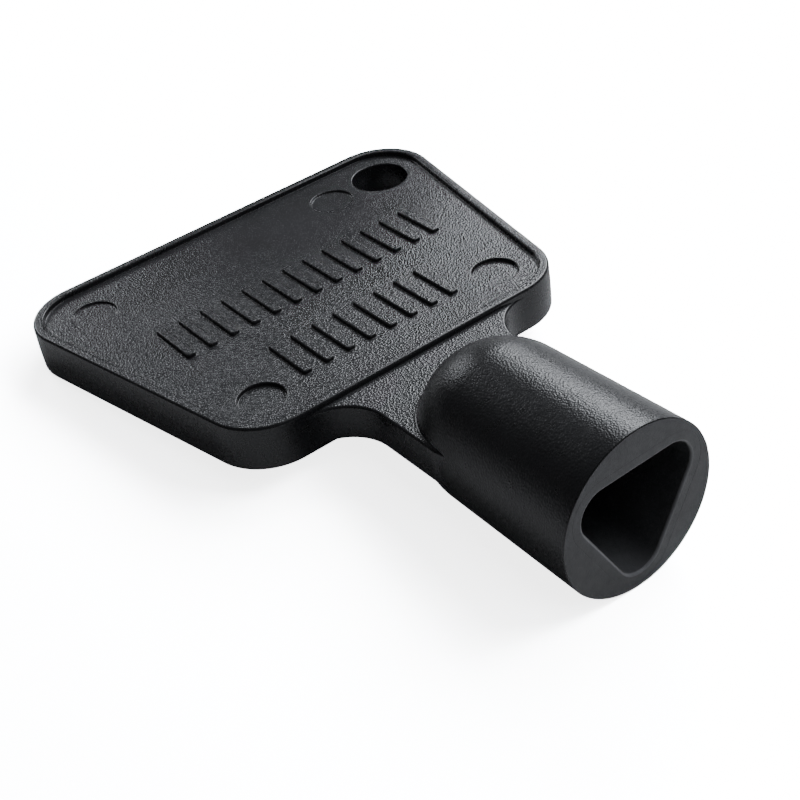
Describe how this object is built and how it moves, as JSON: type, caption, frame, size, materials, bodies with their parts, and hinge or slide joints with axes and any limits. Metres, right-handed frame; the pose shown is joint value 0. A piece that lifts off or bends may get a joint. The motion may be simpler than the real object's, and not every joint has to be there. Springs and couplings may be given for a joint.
{
  "type": "meter box key",
  "caption": "Flat paddle key with a round barrel and a triangular blind socket, which turns the lock of a meter box or utility cupboard.",
  "frame": {"origin": "centre of the triangular socket's mouth, on the barrel's axis", "axes": "+X along the barrel's axis, out of the socket's mouth; +Y towards the keyring hole; +Z out of the face with the raised ribs"},
  "size_m": [0.0715, 0.0534, 0.018],
  "materials": {
    "black_plastic": "satin moulding, with a fine spark-eroded grain on its flat faces and smooth side walls"
  },
  "bodies": {
    "root": {"handle_rim": "black_plastic", "handle_web": "black_plastic", "neck_plate": "black_plastic", "socket_barrel": "black_plastic", "grip_ribs_long": "black_plastic", "grip_ribs_short": "black_plastic"}
  },
  "joints": []
}
